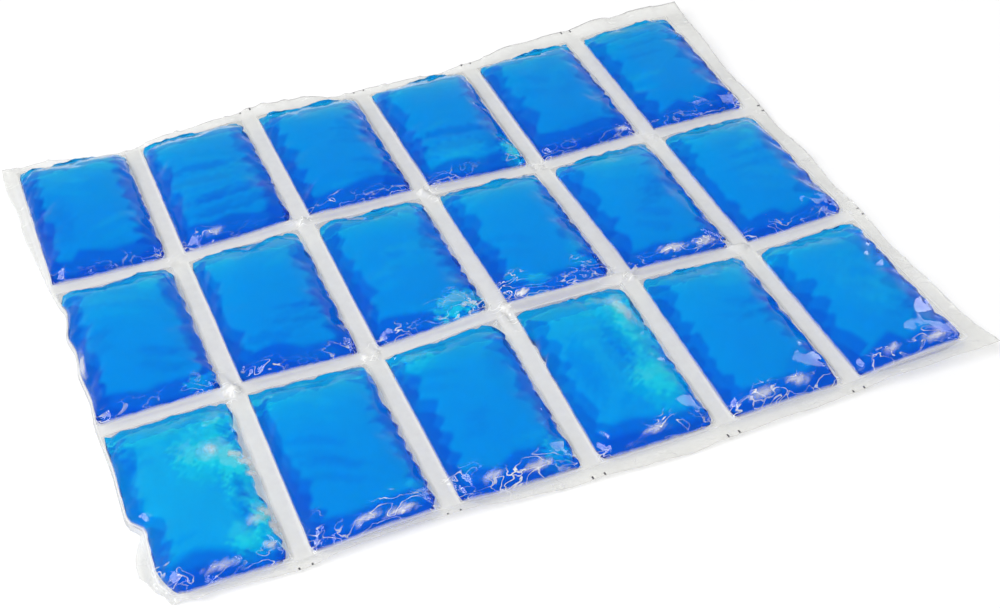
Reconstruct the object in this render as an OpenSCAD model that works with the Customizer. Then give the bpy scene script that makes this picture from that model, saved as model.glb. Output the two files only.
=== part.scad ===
// Reusable ice pack: a mat of gel pouches welded between two webs of clear film.
// +X runs across the columns, +Y runs away from the viewer and +Z is up. The origin
// is on the surface that the mat lies on, under the centre of the mat.

/* [Pouches] */
// Columns of pouches, left to right
columns = 6; // [2:1:8]
// Rows of pouches, near to far
rows = 3; // [1:1:4]
// Width of a pouch between its side seals
pouch_w = 52.7; // [40:0.1:70]
// Length of a pouch between its end seals
pouch_l = 88.4; // [60:0.1:120]
// Height of a full pouch over the surface that the mat lies on
pouch_h = 11; // [9:0.1:15]

/* [Seals] */
// Width of the welded seal between two columns
side_seal = 7.3; // [3:0.1:12]
// Width of the welded seal between two rows
end_seal = 6.4; // [3:0.1:12]
// Width of the clear margin outside the pouches, left and right
side_margin = 10; // [4:0.1:20]
// Width of the clear margin outside the pouches, near and far
end_margin = 9; // [4:0.1:20]
// Height of the seals over the surface, where the mat lies flat
seal_h = 3.5; // [2:0.1:5]
// Drop of the margins' outer edge below the seals
edge_drop = 0.8; // [0:0.1:1.2]

/* [Film] */
// Thickness of each web of film
film_t = 0.15; // [0.1:0.01:0.3]
// Clearance between the gel and the film over and under it
gel_gap = 0.15; // [0.05:0.01:0.3]
// Distance from the seals at which the gel stops
gel_inset = 1.6; // [1:0.1:4]

/* [Gathers] */
// Gathers along the long side of a pouch
side_gathers = 6; // [3:1:8]
// Gathers along the short end of a pouch
end_gathers = 2; // [1:1:3]
// Depth of the gathers that the seals draw into the upper film
gather_depth = 1.3; // [0:0.1:1.6]
// Distance over which a gather runs out towards the pouch's middle
gather_reach = 9; // [6:0.1:14]

/* [Lie] */
// How far a seal bows up or down between two crossings
bow = 0.5; // [0:0.1:1]
// How far the outer edge waves up or down between two columns
wave = 1.4; // [0:0.1:2]

/* [Hidden] */

film_color = [0.89, 0.88, 0.86, 0.4];
gel_color = [0.02, 0.5, 0.9];

// Lift of the seal crossings over seal_h, from the far edge to the near edge. The
// mat lies a little unevenly: its middle seals and its far right corner stand up.
crossing_lift = [
  [1.4, -1.5, 1.8, -1.2, -0.5, 3.2, 5.0],
  [0.0, -0.9, 2.5, 1.7, -1.0, 1.1, 0.5],
  [1.3, 2.4, 0.0, 4.8, 3.9, 0.5, 3.0],
  [-1.5, -1.5, 1.2, -1.5, -1.5, -0.5, 4.0]
];

// The foot of a pouch, flat on the surface, starts at these shares of its width and
// its length
foot_across = 0.1;
foot_along = 0.5 / side_gathers;

// Lines of film over a pouch, as shares of its width and its length. The upper film
// has a line at each crest and each hollow of its gathers
coarse_across = [0, foot_across, 0.5, 1 - foot_across, 1];
coarse_along = [0, foot_along, 0.5, 1 - foot_along, 1];
fine_across = [0, foot_across, 0.28, 0.5, 0.72, 1 - foot_across, 1];
fine_along = [for (k = [0:2 * side_gathers]) k / (2 * side_gathers)];

// A gel fill has fewer lines than the film over it, and each lies under one of the
// film's own
gel_across = [gel_inset / pouch_w, foot_across, 0.28, 0.5, 0.72,
  1 - foot_across, 1 - gel_inset / pouch_w];
gel_along = [gel_inset / pouch_l, 2 * foot_along, 0.5,
  1 - 2 * foot_along, 1 - gel_inset / pouch_l];
// It lies this much deeper than the gathers, and reaches its full height further in
gel_share = 1.5;
gel_reach = 2.2 * gather_reach;

grid_w = columns * pouch_w + (columns - 1) * side_seal;
grid_l = rows * pouch_l + (rows - 1) * end_seal;
pitch_x = pouch_w + side_seal;
pitch_y = pouch_l + end_seal;
// The film can't pass through the surface, so no seal lies lower than this
lowest_seal = film_t + 2 * edge_drop;

function gel_name(r, c) = str("gel_r", r, "_c", c);
function mix(a, b, t) = a + (b - a) * t;
function limit(x, lo, hi) = min(max(x, lo), hi);
// An irregular but repeatable number between -1 and 1
function scatter(a, b) = sin(137 * a + 71 * b + 53 * a * b);

// Left side and near end of a pouch
function pouch_x(c) = -grid_w / 2 + c * pitch_x;
function pouch_y(r) = -grid_l / 2 + r * pitch_y;
// Column or row that a place belongs to. A seal belongs to the pouch before it
function column_at(x) = limit(floor((x + grid_w / 2) / pitch_x), 0, columns - 1);
function row_at(y) = limit(floor((y + grid_l / 2) / pitch_y), 0, rows - 1);
// Share of the pouch's width or length, held at 1 on the seal after it
function across(x) = limit((x - pouch_x(column_at(x))) / pouch_w, 0, 1);
function along(y) = limit((y - pouch_y(row_at(y))) / pouch_l, 0, 1);

// The seals are a lattice of heights with one value at each crossing and one between
// each two crossings. a and b count half pouches from the left and from the near edge.
function crossing(i, j) =
  crossing_lift[(rows - j) % 4][i % 7];
function bowed(a, b) =
  (a <= 0 || b <= 0 || a >= 2 * columns || b >= 2 * rows) ? wave : bow;
function lattice(a, b) = max(lowest_seal, seal_h
  + (crossing(floor(a / 2), floor(b / 2)) + crossing(ceil(a / 2), floor(b / 2))
    + crossing(floor(a / 2), ceil(b / 2)) + crossing(ceil(a / 2), ceil(b / 2))) / 4
  + (a % 2 + b % 2 > 0 ? bowed(a, b) * scatter(a, b) : 0));

// Height of the weld surface, straight between two neighbours in the lattice
function weld_in(a, b, s, t) = mix(
  mix(lattice(a, b), lattice(a + 1, b), s),
  mix(lattice(a, b + 1), lattice(a + 1, b + 1), s), t);
function drop(x, y) = edge_drop * (
  limit((abs(x) - grid_w / 2) / side_margin, 0, 1)
  + limit((abs(y) - grid_l / 2) / end_margin, 0, 1));
function half_step(share) = share >= 0.5 ? 1 : 0;
function weld(x, y) =
  let (u = across(x), v = along(y), hu = half_step(u), hv = half_step(v))
  weld_in(2 * column_at(x) + hu, 2 * row_at(y) + hv, 2 * u - hu, 2 * v - hv)
  - drop(x, y);

// 0 at the seals of a pouch and 1 past its first lines, straight between them
function ramp(share, first) = min(1, min(share, 1 - share) / first);
function slope(u, v) = ramp(u, foot_across) * ramp(v, foot_along);

// Crown of a pouch: 0 at its seals and 1 at its middle, steep near the seals
function rise(share, first, power) =
  pow(1 - pow(abs(2 * limit(share, first, 1 - first) - 1), power), 0.75);
function crown(u, v) =
  slope(u, v) * rise(u, foot_across, 2.4) * rise(v, foot_along, 4.5);
// Foot of a pouch: 0 at its seals and 1 where it rests on the surface
function foot(u, v) = min(ramp(u, foot_across), ramp(v, foot_along));

// Gathers run in from the seals, and are deeper in some pouches than in others
function fade(share, first, size, reach) =
  max(0, 1 - size * max(0, min(share, 1 - share) - first) / reach);
function hollow(share, count) = (1 - cos(360 * count * share)) / 2;
function gather(u, v, depth) = depth * slope(u, v) * max(
  fade(u, foot_across, pouch_w, gather_reach) * hollow(v, side_gathers),
  fade(v, foot_along, pouch_l, gather_reach) * hollow(u, end_gathers));
// Where the seals stand up the pouch is shallow over them, and so are its gathers
function deepest(x, y) =
  gather_depth * (pouch_h - weld(x, y)) / (pouch_h - seal_h);
function depth_at(x, y) =
  deepest(x, y) * (0.75 + 0.25 * scatter(column_at(x), row_at(y) + 1));

// Heights of the upper film's under face and of the lower film's upper face
function domed(x, y) = mix(weld(x, y), pouch_h - film_t, crown(across(x), along(y)));
function upper(x, y) = domed(x, y) - gather(across(x), along(y), depth_at(x, y));
function lower(x, y) = mix(weld(x, y), film_t, foot(across(x), along(y)));

// The gel stays clear of both webs, and under the deepest of the gathers
function gel_top(x, y) =
  let (u = across(x), v = along(y),
    near_seal = max(fade(u, foot_across, pouch_w, gel_reach),
      fade(v, foot_along, pouch_l, gel_reach)))
  domed(x, y) - gel_share * deepest(x, y) * slope(u, v) * near_seal - gel_gap;
function gel_foot(x, y) =
  mix(weld(x, y), film_t, pow(foot(across(x), along(y)), 1.6)) + gel_gap;

// Lines of the film from edge to edge, with the same shares in each pouch
function lines_x(shares) = concat([-grid_w / 2 - side_margin],
  [for (c = [0:columns - 1]) for (s = shares) pouch_x(c) + s * pouch_w],
  [grid_w / 2 + side_margin]);
function lines_y(shares) = concat([-grid_l / 2 - end_margin],
  [for (r = [0:rows - 1]) for (s = shares) pouch_y(r) + s * pouch_l],
  [grid_l / 2 + end_margin]);

// Two triangles over each square of the grid, split from the pouch's corners to its
// middle. start is the index of the grid's first point
function tiles(xs, ys, start) = [
  for (j = [0:len(ys) - 2]) for (i = [0:len(xs) - 2])
    let (p = start + j * len(xs) + i, q = p + 1, r = q + len(xs), s = p + len(xs),
      left = across((xs[i] + xs[i + 1]) / 2) < 0.5,
      near = along((ys[j] + ys[j + 1]) / 2) < 0.5)
    each left == near ? [[p, q, r], [p, r, s]] : [[p, q, s], [q, r, s]]];

// A closed slab over the grid of lines xs and ys, from its bottom to its top points
module slab(xs, ys, bottom, top) {
  nx = len(xs);
  ny = len(ys);
  layer = nx * ny;
  rim = concat(
    [for (i = [0:nx - 1]) i],
    [for (j = [1:ny - 1]) j * nx + nx - 1],
    [for (i = [nx - 2:-1:0]) (ny - 1) * nx + i],
    [for (j = [ny - 2:-1:1]) j * nx]);
  polyhedron(
    points = concat(bottom, top),
    faces = concat(
      tiles(xs, ys, 0),
      [for (t = tiles(xs, ys, layer)) [t[2], t[1], t[0]]],
      [for (k = [0:len(rim) - 1]) let (p = rim[k], q = rim[(k + 1) % len(rim)])
        each [[p, p + layer, q + layer], [p, q + layer, q]]]),
    convexity = 8);
}

module upper_film() {
  xs = lines_x(fine_across);
  ys = lines_y(fine_along);
  color(film_color) slab(xs, ys,
    [for (y = ys) for (x = xs) [x, y, upper(x, y)]],
    [for (y = ys) for (x = xs) [x, y, upper(x, y) + film_t]]);
}

module lower_film() {
  xs = lines_x(coarse_across);
  ys = lines_y(coarse_along);
  color(film_color) slab(xs, ys,
    [for (y = ys) for (x = xs) [x, y, lower(x, y) - film_t]],
    [for (y = ys) for (x = xs) [x, y, lower(x, y)]]);
}

module gel(r, c) {
  xs = [for (s = gel_across) pouch_x(c - 1) + s * pouch_w];
  ys = [for (s = gel_along) pouch_y(rows - r) + s * pouch_l];
  color(gel_color) slab(xs, ys,
    [for (y = ys) for (x = xs) [x, y, gel_foot(x, y)]],
    [for (y = ys) for (x = xs) [x, y, max(gel_top(x, y), gel_foot(x, y) + film_t)]]);
}

upper_film();
lower_film();
for (r = [1:rows])
  for (c = [1:columns])
    gel(r, c);
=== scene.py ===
import math

import bpy
import numpy as np
from mathutils import Matrix, Vector
from mathutils.bvhtree import BVHTree


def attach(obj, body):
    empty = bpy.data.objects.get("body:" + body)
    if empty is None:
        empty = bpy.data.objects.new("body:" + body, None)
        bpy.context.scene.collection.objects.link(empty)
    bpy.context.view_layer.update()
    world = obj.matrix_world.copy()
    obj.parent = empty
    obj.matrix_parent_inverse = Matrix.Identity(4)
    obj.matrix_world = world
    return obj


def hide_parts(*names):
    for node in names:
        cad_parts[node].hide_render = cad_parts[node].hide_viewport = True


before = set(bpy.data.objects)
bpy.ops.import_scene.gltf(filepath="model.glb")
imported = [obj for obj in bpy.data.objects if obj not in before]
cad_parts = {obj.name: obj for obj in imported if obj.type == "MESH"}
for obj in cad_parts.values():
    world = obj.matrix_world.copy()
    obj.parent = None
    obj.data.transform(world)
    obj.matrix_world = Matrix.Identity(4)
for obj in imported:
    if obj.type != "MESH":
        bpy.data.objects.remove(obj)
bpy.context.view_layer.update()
scene = bpy.context.scene
MM = 0.001

# The mat as it is welded, in millimetres
COLUMNS, ROWS = 6, 3
POUCH_W, POUCH_L, POUCH_H = 52.7, 88.4, 11.0
SIDE_SEAL, END_SEAL = 7.3, 6.4
SIDE_MARGIN, END_MARGIN = 10.0, 9.0
PITCH_X, PITCH_Y = POUCH_W + SIDE_SEAL, POUCH_L + END_SEAL
GRID_W = COLUMNS * PITCH_X - SIDE_SEAL
GRID_L = ROWS * PITCH_Y - END_SEAL
FILM = 0.14
WEB_GAP = 0.02

# Squares of film over a pouch, a seal and a margin
OVER_POUCH_W, OVER_POUCH_L = 36, 56
OVER_SEAL, OVER_MARGIN = 5, 7
GEL_W, GEL_L = 60, 96

# The lowest that the weld lies, and that its creases reach
LOWEST_WELD, LOWEST_CREASE = 1.6, 1.0
# How far the simulation may slacken and swell the film, and folds stand above a pouch
SLACKEN, SWELL, FOLDS_UP = -1.5, 2.0, 1.2


def nothing_selected():
    for o in bpy.context.selected_objects:
        o.select_set(False)
    bpy.context.view_layer.objects.active = None


def points_of(piece):
    flat = np.empty(len(piece.data.vertices) * 3)
    piece.data.vertices.foreach_get("co", flat)
    return flat.reshape(-1, 3)


def move_points(piece, places):
    piece.data.vertices.foreach_set("co", np.asarray(places, float).ravel())
    piece.data.update()


def apply_modifier(piece, kind, **settings):
    nothing_selected()
    piece.select_set(True)
    bpy.context.view_layer.objects.active = piece
    mod = piece.modifiers.new(kind.title(), kind)
    for name, value in settings.items():
        setattr(mod, name, value)
    bpy.ops.object.modifier_apply(modifier=mod.name)


def ease(t):
    t = np.clip(t, 0, 1)
    return t * t * (3 - 2 * t)


def bump(t):
    """1 at 0, falling smoothly to 0 at 1 and past it."""
    return 1 - ease(np.abs(t))


def crowded_shares(count, crowding):
    """Shares from 0 to 1, closer together towards both ends."""
    share = np.linspace(0, 1, count + 1)
    return share - crowding * np.sin(2 * math.pi * share)


def web_lines(count, pouch, pitch, margin, over_pouch):
    """Places of the film's lines in millimetres: close together beside the seals."""
    share = crowded_shares(over_pouch, 0.07)
    half = (count * pitch - (pitch - pouch)) / 2
    seal = pitch - pouch
    lines = list(-half - margin + margin * np.arange(OVER_MARGIN) / OVER_MARGIN)
    for k in range(count):
        lines += list(-half + k * pitch + share * pouch)
        if k < count - 1:
            lines += list(-half + k * pitch + pouch
                          + seal * np.arange(1, OVER_SEAL) / OVER_SEAL)
    lines += list(half + margin * np.arange(1, OVER_MARGIN + 1) / OVER_MARGIN)
    return np.array(lines)


XS = web_lines(COLUMNS, POUCH_W, PITCH_X, SIDE_MARGIN, OVER_POUCH_W)
YS = web_lines(ROWS, POUCH_L, PITCH_Y, END_MARGIN, OVER_POUCH_L)
X, Y = np.meshgrid(XS, YS)


def pouch_shares(x, y):
    """Column and row of the pouch that a place is in, and its shares across and along."""
    c = np.clip(np.floor((x + GRID_W / 2) / PITCH_X), 0, COLUMNS - 1)
    r = np.clip(np.floor((y + GRID_L / 2) / PITCH_Y), 0, ROWS - 1)
    u = (x + GRID_W / 2 - c * PITCH_X) / POUCH_W
    v = (y + GRID_L / 2 - r * PITCH_Y) / POUCH_L
    return c.astype(int), r.astype(int), u, v


COLUMN, ROW, U, V = pouch_shares(X, Y)
INSIDE = (U > 1e-6) & (U < 1 - 1e-6) & (V > 1e-6) & (V < 1 - 1e-6)

# Height of the weld, read from the solid at each crossing and between each two.
# Past the outer seals it is read just outside the grid

JUST_OUTSIDE = 0.5
lower_tree = BVHTree.FromObject(
    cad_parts["lower_film"], bpy.context.evaluated_depsgraph_get())


def weld_read_at(x, y):
    hit = lower_tree.ray_cast(Vector((x * MM, y * MM, 0.1)), Vector((0, 0, -1)))[0]
    return hit.z / MM


def weld_lattice():
    heights = np.zeros((2 * ROWS + 1, 2 * COLUMNS + 1))
    for j in range(2 * ROWS + 1):
        for i in range(2 * COLUMNS + 1):
            if i % 2 and j % 2:
                continue
            x = min(max(-GRID_W / 2 - SIDE_SEAL / 2 + i * PITCH_X / 2,
                        -GRID_W / 2 - JUST_OUTSIDE), GRID_W / 2 + JUST_OUTSIDE)
            y = min(max(-GRID_L / 2 - END_SEAL / 2 + j * PITCH_Y / 2,
                        -GRID_L / 2 - JUST_OUTSIDE), GRID_L / 2 + JUST_OUTSIDE)
            heights[j, i] = weld_read_at(x, y)
    for j in range(1, 2 * ROWS, 2):
        for i in range(1, 2 * COLUMNS, 2):
            heights[j, i] = (heights[j - 1, i] + heights[j + 1, i]
                             + heights[j, i - 1] + heights[j, i + 1]) / 4
    return heights


LATTICE = weld_lattice()


def spline_weights(t):
    """Smooth weights of the four neighbours of a place between the middle two."""
    return np.array([-0.5 * t + t * t - 0.5 * t ** 3, 1 - 2.5 * t * t + 1.5 * t ** 3,
                     0.5 * t + 2 * t * t - 1.5 * t ** 3, -0.5 * t * t + 0.5 * t ** 3])


def weld(x, y):
    a = np.clip((x + GRID_W / 2 + SIDE_SEAL / 2) / (PITCH_X / 2), 0, 2 * COLUMNS - 1e-6)
    b = np.clip((y + GRID_L / 2 + END_SEAL / 2) / (PITCH_Y / 2), 0, 2 * ROWS - 1e-6)
    ia, ib = np.floor(a).astype(int), np.floor(b).astype(int)
    wa, wb = spline_weights(a - ia), spline_weights(b - ib)
    total = 0
    for k in range(4):
        for m in range(4):
            total = total + wa[k] * wb[m] * LATTICE[
                np.clip(ib + m - 1, 0, 2 * ROWS), np.clip(ia + k - 1, 0, 2 * COLUMNS)]
    return np.maximum(total, LOWEST_WELD)


# Where the upper film is hazy and where it is white with painted highlights, and where it
# has thin white lines (wrinkles, and painted glints along the near seals), from 0 to 1
HAZE_AND_HIGHLIGHTS = np.zeros_like(X)
WRINKLES_AND_GLINTS = np.zeros_like(X)


def add_ridge(heights, start, end, height, width, keep=0.0, whiten=0.0):
    """A fold in millimetres that fades to the share keep at its end. whiten is how
    white the lines along it are: wrinkles, and painted glints where it lies along a near
    seal."""
    (x0, y0), (x1, y1) = start, end
    reach = 3 * width
    cols = slice(*np.searchsorted(XS, [min(x0, x1) - reach, max(x0, x1) + reach]))
    rows = slice(*np.searchsorted(YS, [min(y0, y1) - reach, max(y0, y1) + reach]))
    x, y = X[rows, cols], Y[rows, cols]
    if x.size == 0:
        return
    dx, dy = x1 - x0, y1 - y0
    t = ((x - x0) * dx + (y - y0) * dy) / (dx * dx + dy * dy)
    t = np.clip(t, 0, 1)
    away = np.hypot(x - x0 - t * dx, y - y0 - t * dy)
    fade = 1 - (1 - keep) * t
    heights[rows, cols] += height * np.exp(-(away / width) ** 2) * fade
    if whiten > 0:
        line = whiten * np.exp(-(away / 2.2) ** 2) * fade
        WRINKLES_AND_GLINTS[rows, cols] = np.maximum(WRINKLES_AND_GLINTS[rows, cols], line)


def add_arc(heights, centre, radius, start, end, height, width, whiten=0.0):
    """An uneven curved fold: angles in degrees from the mat's right, anticlockwise. Its
    white line is a wrinkle with a painted glint.
    """
    reach = 1.3 * radius + 3 * width
    cols = slice(*np.searchsorted(XS, [centre[0] - reach, centre[0] + reach]))
    rows = slice(*np.searchsorted(YS, [centre[1] - reach, centre[1] + reach]))
    x, y = X[rows, cols] - centre[0], Y[rows, cols] - centre[1]
    angle = np.arctan2(y, x)
    wander = (1 + 0.1 * np.sin(3 * angle + centre[0])
              + 0.05 * np.sin(7 * angle + centre[1]))
    away = np.abs(np.hypot(x, y) - radius * wander)
    share = (np.degrees(angle) - start) % 360 / (end - start)
    share = np.where(share > 1, 0, share)
    line = ease(4 * share) * ease(4 - 4 * share)
    heights[rows, cols] += height * np.exp(-(away / width) ** 2) * line
    if whiten:
        WRINKLES_AND_GLINTS[rows, cols] = np.maximum(
            WRINKLES_AND_GLINTS[rows, cols], whiten * np.exp(-(away / 1.6) ** 2) * line)


def haze_highlight_patch(x, y, half_w, half_l, turn, strength):
    """A ragged white patch: haze where the film is puckered, and a painted highlight
    where the listed highlight patches put one.
    """
    turn = math.radians(turn)
    dx, dy = X - x, Y - y
    a = dx * math.cos(turn) + dy * math.sin(turn)
    b = dy * math.cos(turn) - dx * math.sin(turn)
    ragged = 0.2 * np.sin(1.9 * dx + 2 * np.sin(1.3 * dy)) + 0.16 * np.sin(2.7 * dy + dx)
    apart = np.hypot(a / half_w, b / half_l) + ragged
    HAZE_AND_HIGHLIGHTS[:] = np.maximum(HAZE_AND_HIGHLIGHTS, strength * ease((1.25 - apart) * 1.1))


def in_pouch(row, column, u, v):
    """Place at shares u, v of a pouch. Rows count from the far edge, as the nodes do."""
    return (-GRID_W / 2 + (column - 1) * PITCH_X + u * POUCH_W,
            -GRID_L / 2 + (ROWS - row) * PITCH_Y + v * POUCH_L)


random = np.random.default_rng(7)


def crossing_puckers():
    """Uneven creases and hazy patches where seals cross, at some more than others."""
    strong = {(3, 1): 1.7, (2, 1): 1.2, (1, 2): 2.0, (2, 2): 1.4,
              (3, 2): 1.9, (4, 2): 1.6, (5, 2): 1.3, (4, 1): 1.2}
    creases = np.zeros_like(X)
    for column in range(1, COLUMNS):
        for row in range(1, ROWS):
            x, y = in_pouch(row, column, 1, 0)
            x, y = x + SIDE_SEAL / 2, y - END_SEAL / 2
            size = strong.get((column, row), 0.8)
            for k in range(6):
                a = math.radians(random.uniform(0, 360))
                far = size * random.uniform(2, 9)
                start = (x + random.uniform(-2.5, 2.5), y + random.uniform(-2, 2))
                end = (x + far * math.cos(a), y + far * math.sin(a))
                add_ridge(creases, start, end, random.uniform(-1.4, 2.0) * size ** 0.5,
                          random.uniform(0.8, 1.5), 0.1, random.uniform(0.2, 0.6) * size)
            for k in range(2):
                haze_highlight_patch(x + random.uniform(-3, 3), y + random.uniform(-2, 2),
                             1.6 * size, 0.9 * size, random.uniform(-40, 80),
                             random.uniform(0.35, 0.55) * size)
    return creases


def margin_creases():
    """The margins are cockled: creases run in from the film's edge."""
    creases = np.zeros_like(X)
    half_w, half_l = GRID_W / 2 + SIDE_MARGIN, GRID_L / 2 + END_MARGIN
    for side in ("far", "near", "right", "left"):
        run = half_w if side in ("far", "near") else half_l
        strength = {"far": 1.0, "near": 0.7, "right": 0.7, "left": 0.6}[side]
        at = -run + 4
        while at < run - 4:
            reach = random.uniform(5, 15)
            lean = random.uniform(-7, 7)
            start, end = {
                "far": ((at, half_l), (at + lean, half_l - reach)),
                "near": ((at, -half_l), (at + lean, -half_l + reach)),
                "right": ((half_w, at), (half_w - reach, at + lean)),
                "left": ((-half_w, at), (-half_w + reach, at + lean))}[side]
            add_ridge(creases, start, end, random.uniform(-0.7, 1.2) * strength,
                      random.uniform(1.0, 2.2), 0.15, random.uniform(-0.3, 0.5))
            at += random.uniform(5, 15)
    return creases


WELD = np.maximum(weld(X, Y) + crossing_puckers() + margin_creases(), LOWEST_CREASE)

# How much each side of a pouch gathers, and how full each pouch is
SIDE_GATHERS = {"left": 0.35, "right": 1.0, "near": 0.8, "far": 0.9}
HARD_GATHERED = {(3, 1, "right"): 1.7, (3, 1, "far"): 1.3, (3, 4, "right"): 1.3,
                 (3, 4, "far"): 1.3, (2, 4, "right"): 1.3, (3, 6, "right"): 1.3,
                 (1, 4, "right"): 1.2, (2, 1, "left"): 0.9, (3, 1, "left"): 0.8}
FULLNESS = np.array([[1.0, 1.0, 1.0, 1.0, 1.0, 0.97],
                     [1.0, 1.0, 1.0, 1.0, 1.0, 0.98],
                     [0.9, 1.0, 0.98, 0.86, 1.0, 0.97]])[::-1]


def gathers():
    """Short folds that run in from the seals, most of them square to the seal."""
    folds = np.zeros_like(X)
    for row in range(1, ROWS + 1):
        for column in range(1, COLUMNS + 1):
            for side, strength in SIDE_GATHERS.items():
                upright = side in ("left", "right")
                length = POUCH_L if upright else POUCH_W
                if (row, column, side) in HARD_GATHERED:
                    strength = HARD_GATHERED[row, column, side]
                at = random.uniform(1, 4)
                while at < length - 1:
                    share = at / length
                    reach = random.uniform(2.5, 9) * (0.5 + 0.5 * strength)
                    lean = random.uniform(-0.4, 0.4) * reach
                    deep = reach / (POUCH_W if upright else POUCH_L)
                    drift = lean / length
                    ends = {"left": ((0, share), (deep, share + drift)),
                            "right": ((1, share), (1 - deep, share + drift)),
                            "near": ((share, 0), (share + drift, deep)),
                            "far": ((share, 1), (share + drift, 1 - deep))}[side]
                    start, end = (in_pouch(row, column, *e) for e in ends)
                    height = random.uniform(-0.8, 0.6) * strength
                    add_ridge(folds, start, end, height, random.uniform(0.7, 1.3))
                    at += random.uniform(1.8, 5.0)
    return folds


def crown_of(u, v):
    """A filled pouch stands steeply at its seals and is nearly flat over its middle."""
    u, v = np.clip(u, 0, 1), np.clip(v, 0, 1)
    across = (1 - np.abs(2 * u - 1) ** 4.5) ** 0.65
    along = np.where(v > 0.5, (1 - np.abs(2 * v - 1) ** 5.5) ** 0.9,
                     (1 - np.abs(2 * v - 1) ** 7.5) ** 0.72)
    return across * along


def corner_folds():
    """Longer folds that run into a pouch from its corners, arcs along its near seal
    and folds along its far one."""
    folds = np.zeros_like(X)
    for row in range(1, ROWS + 1):
        for column in range(1, COLUMNS + 1):
            for u, v, sign_u, sign_v in ((0, 0, 1, 1), (1, 0, -1, 1), (0, 1, 1, -1),
                                         (1, 1, -1, -1)):
                for k in range(random.integers(1, 4)):
                    x, y = in_pouch(row, column, u, v)
                    a = random.uniform(0.15, 1.4)
                    far = random.uniform(7, 19)
                    add_ridge(folds, (x, y), (x + sign_u * far * math.cos(a),
                                              y + sign_v * far * math.sin(a)),
                              random.uniform(-0.8, 1.2), random.uniform(0.8, 1.5))
            for k in range(random.integers(1, 4)):
                u = random.uniform(0.15, 0.85)
                radius = random.uniform(5, 11)
                x, y = in_pouch(row, column, u, 0)
                add_arc(folds, (x, y + random.uniform(-5, 1)), radius,
                        random.uniform(10, 60), random.uniform(110, 165),
                        random.uniform(0.3, 0.7), random.uniform(1.0, 1.6))
            for k in range(random.integers(3, 6)):
                u = random.uniform(0.03, 0.75)
                start = in_pouch(row, column, u, random.uniform(0.945, 0.975))
                end = in_pouch(row, column, u + random.uniform(0.12, 0.3),
                               random.uniform(0.94, 0.98))
                add_ridge(folds, start, end, random.uniform(0.7, 1.3), 0.9, 0.6)
    return folds


# Creases that show one by one: row, column, the shares across and along where each
# starts and ends, its height and its width in millimetres
CREASES = [
    (3, 2, 0.04, 0.0, 0.12, 0.15, 1.1, 0.7), (3, 1, 0.02, 0.3, 0.14, 0.22, 0.9, 0.7),
    (3, 1, 0.2, 0.33, 0.43, 0.12, 0.7, 0.8), (3, 1, 0.0, 0.16, 0.25, 0.03, 1.0, 0.8),
    (3, 1, 0.3, 0.0, 0.05, 0.1, 0.8, 0.7), (3, 3, 0.0, 0.14, 0.13, 0.0, 1.0, 0.8),
    (3, 3, 0.0, 0.12, 0.2, 0.13, 0.9, 0.8), (3, 3, 0.02, 0.1, 0.09, 0.24, 0.8, 0.8),
    (2, 3, 0.98, 0.02, 0.55, 0.14, 1.1, 0.9), (2, 3, 0.98, 0.03, 0.5, 0.02, 1.0, 0.9),
    (2, 3, 0.97, 0.05, 0.75, 0.17, 0.9, 0.8), (2, 4, 0.98, 0.04, 0.72, 0.16, 1.0, 0.9),
    (2, 4, 0.98, 0.03, 0.68, 0.08, -0.8, 0.9), (2, 4, 0.96, 0.1, 0.85, 0.26, 0.8, 0.8),
    (1, 4, 0.98, 0.1, 0.7, 0.2, 0.9, 0.9), (1, 4, 0.97, 0.06, 0.78, 0.05, 0.8, 0.8),
    (3, 4, 0.55, 0.98, 0.62, 0.6, -1.0, 1.4), (3, 4, 0.5, 0.97, 0.42, 0.72, 0.9, 1.1),
    (3, 4, 0.75, 0.95, 0.68, 0.35, -0.9, 1.6), (3, 4, 0.4, 0.3, 0.55, 0.08, 0.8, 1.2),
    (3, 2, 0.95, 0.98, 0.86, 0.6, 0.8, 1.0), (3, 3, 0.05, 0.97, 0.32, 0.86, 0.9, 0.9),
    (1, 1, 0.02, 0.6, 0.2, 0.42, 0.7, 1.0), (1, 2, 0.98, 0.75, 0.78, 0.5, 0.7, 1.0),
    (1, 2, 0.85, 0.08, 0.3, 0.2, -0.7, 1.6), (1, 4, 0.15, 0.36, 0.75, 0.27, -0.8, 1.6),
    (2, 1, 0.06, 0.97, 0.3, 0.94, 0.9, 0.8), (2, 1, 0.12, 0.02, 0.1, 0.36, 0.7, 1.0),
    (2, 1, 0.7, 0.94, 0.72, 0.8, 0.8, 1.0), (3, 6, 0.95, 0.9, 0.55, 0.55, 0.6, 1.4),
    (3, 6, 0.9, 0.75, 0.5, 0.42, -0.6, 1.4), (3, 6, 0.95, 0.6, 0.6, 0.3, 0.6, 1.3),
    (1, 6, 0.98, 0.1, 0.74, 0.25, 0.8, 1.0), (2, 6, 0.98, 0.1, 0.76, 0.2, 0.8, 1.0),
]
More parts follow.
